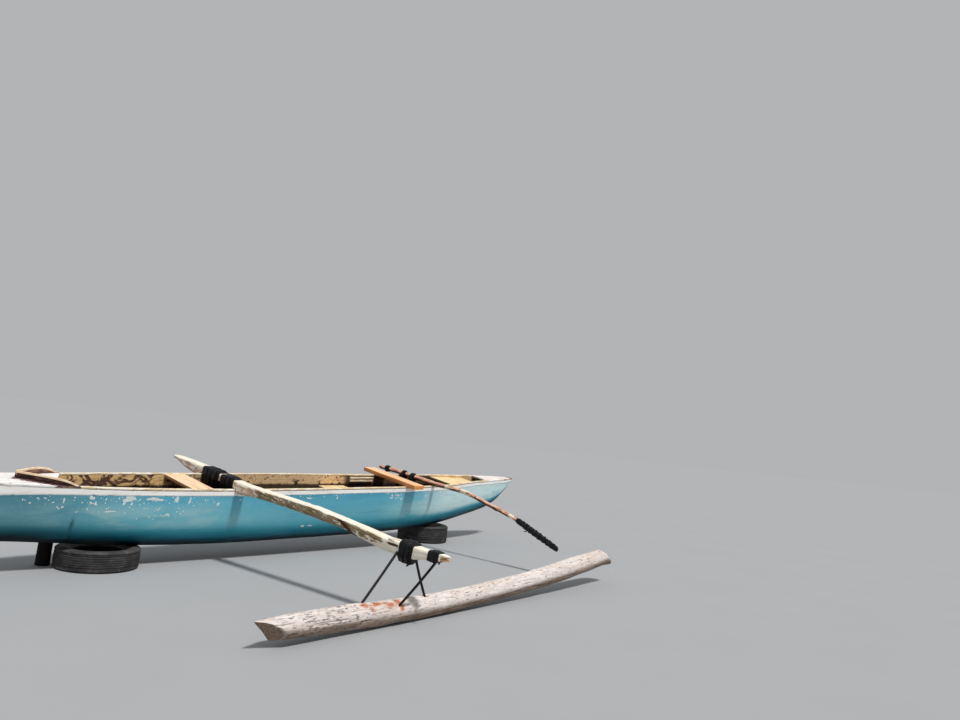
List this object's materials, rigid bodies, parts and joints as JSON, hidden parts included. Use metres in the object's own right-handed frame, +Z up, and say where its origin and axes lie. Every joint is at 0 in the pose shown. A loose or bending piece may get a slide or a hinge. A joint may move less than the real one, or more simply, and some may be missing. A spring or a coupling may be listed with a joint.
{
  "type": "outrigger canoe on tyres",
  "caption": "Single-outrigger wooden canoe, beached: slim painted log hull, two booms, a log float on rod struts, old tyres below.",
  "frame": {"origin": "on the floor below the middle of the whole object's outline", "axes": "+X towards the stern, +Y to starboard, away from the float, +Z up"},
  "size_m": [6.9355, 3.0549, 0.7565],
  "materials": {
    "hull_paint": "teal paint over wood, satin, sun-bleached in patches, chipped to white below the strake",
    "white_paint": "white paint over wood, chalky, worn and stained",
    "inside_paint": "tan paint peeling to purple-brown wood",
    "cap_wood": "weathered bare wood with traces of white paint",
    "new_plank": "fresh sawn plank, matt",
    "pale_plank": "pale weathered plank, matt",
    "orange_plank": "orange-brown plank, matt",
    "weathered_beam": "cream-white weathered paint flaking to brown wood",
    "bark_branch": "rough pink-brown branch with knots",
    "bleached_log": "grey-white bleached grain with dark cracks and rust stains",
    "rubber_strip": "wound strips of inner tube, satin black",
    "rod_steel": "black bar with rust",
    "tyre_rubber": "dusty worn rubber",
    "dark_post": "dark damp wood"
  },
  "bodies": {
    "root": {"hull_bow": "hull_paint", "hull_fore_length": "hull_paint", "hull_aft_length": "hull_paint", "hull_stern": "hull_paint", "strake_port": "white_paint", "strake_starboard": "white_paint", "gunwale_cap_port": "cap_wood", "gunwale_cap_starboard": "cap_wood", "foredeck": "white_paint", "wave_breaker_port": "cap_wood", "wave_breaker_starboard": "cap_wood", "stern_deck": "white_paint", "front_thwart": "new_plank", "front_thwart_riser_port": "inside_paint", "front_thwart_riser_starboard": "inside_paint", "middle_seat": "new_plank", "middle_seat_riser_port": "inside_paint", "middle_seat_riser_starboard": "inside_paint", "stern_seat": "pale_plank", "stern_seat_riser_port": "inside_paint", "stern_seat_riser_starboard": "inside_paint", "rear_thwart": "orange_plank", "inner_cleat": "cap_wood", "front_spreader": "cap_wood", "rear_spreader": "cap_wood", "front_boom": "weathered_beam", "front_boom_outer": "weathered_beam", "hull_lashing_starboard": "rubber_strip", "hull_lashing_port": "rubber_strip", "outer_lashing": "rubber_strip", "end_lashing": "rubber_strip", "rear_boom": "bark_branch", "rear_lashing_outboard": "rubber_strip", "rear_lashing_middle": "rubber_strip", "rear_lashing_port": "rubber_strip", "rear_outer_wrap": "rubber_strip", "float": "bleached_log", "strut_front": "rod_steel", "strut_outer": "rod_steel", "strut_aft": "rod_steel", "front_tyre": "tyre_rubber", "rear_tyre": "tyre_rubber", "bilge_prop": "dark_post"}
  },
  "joints": []
}
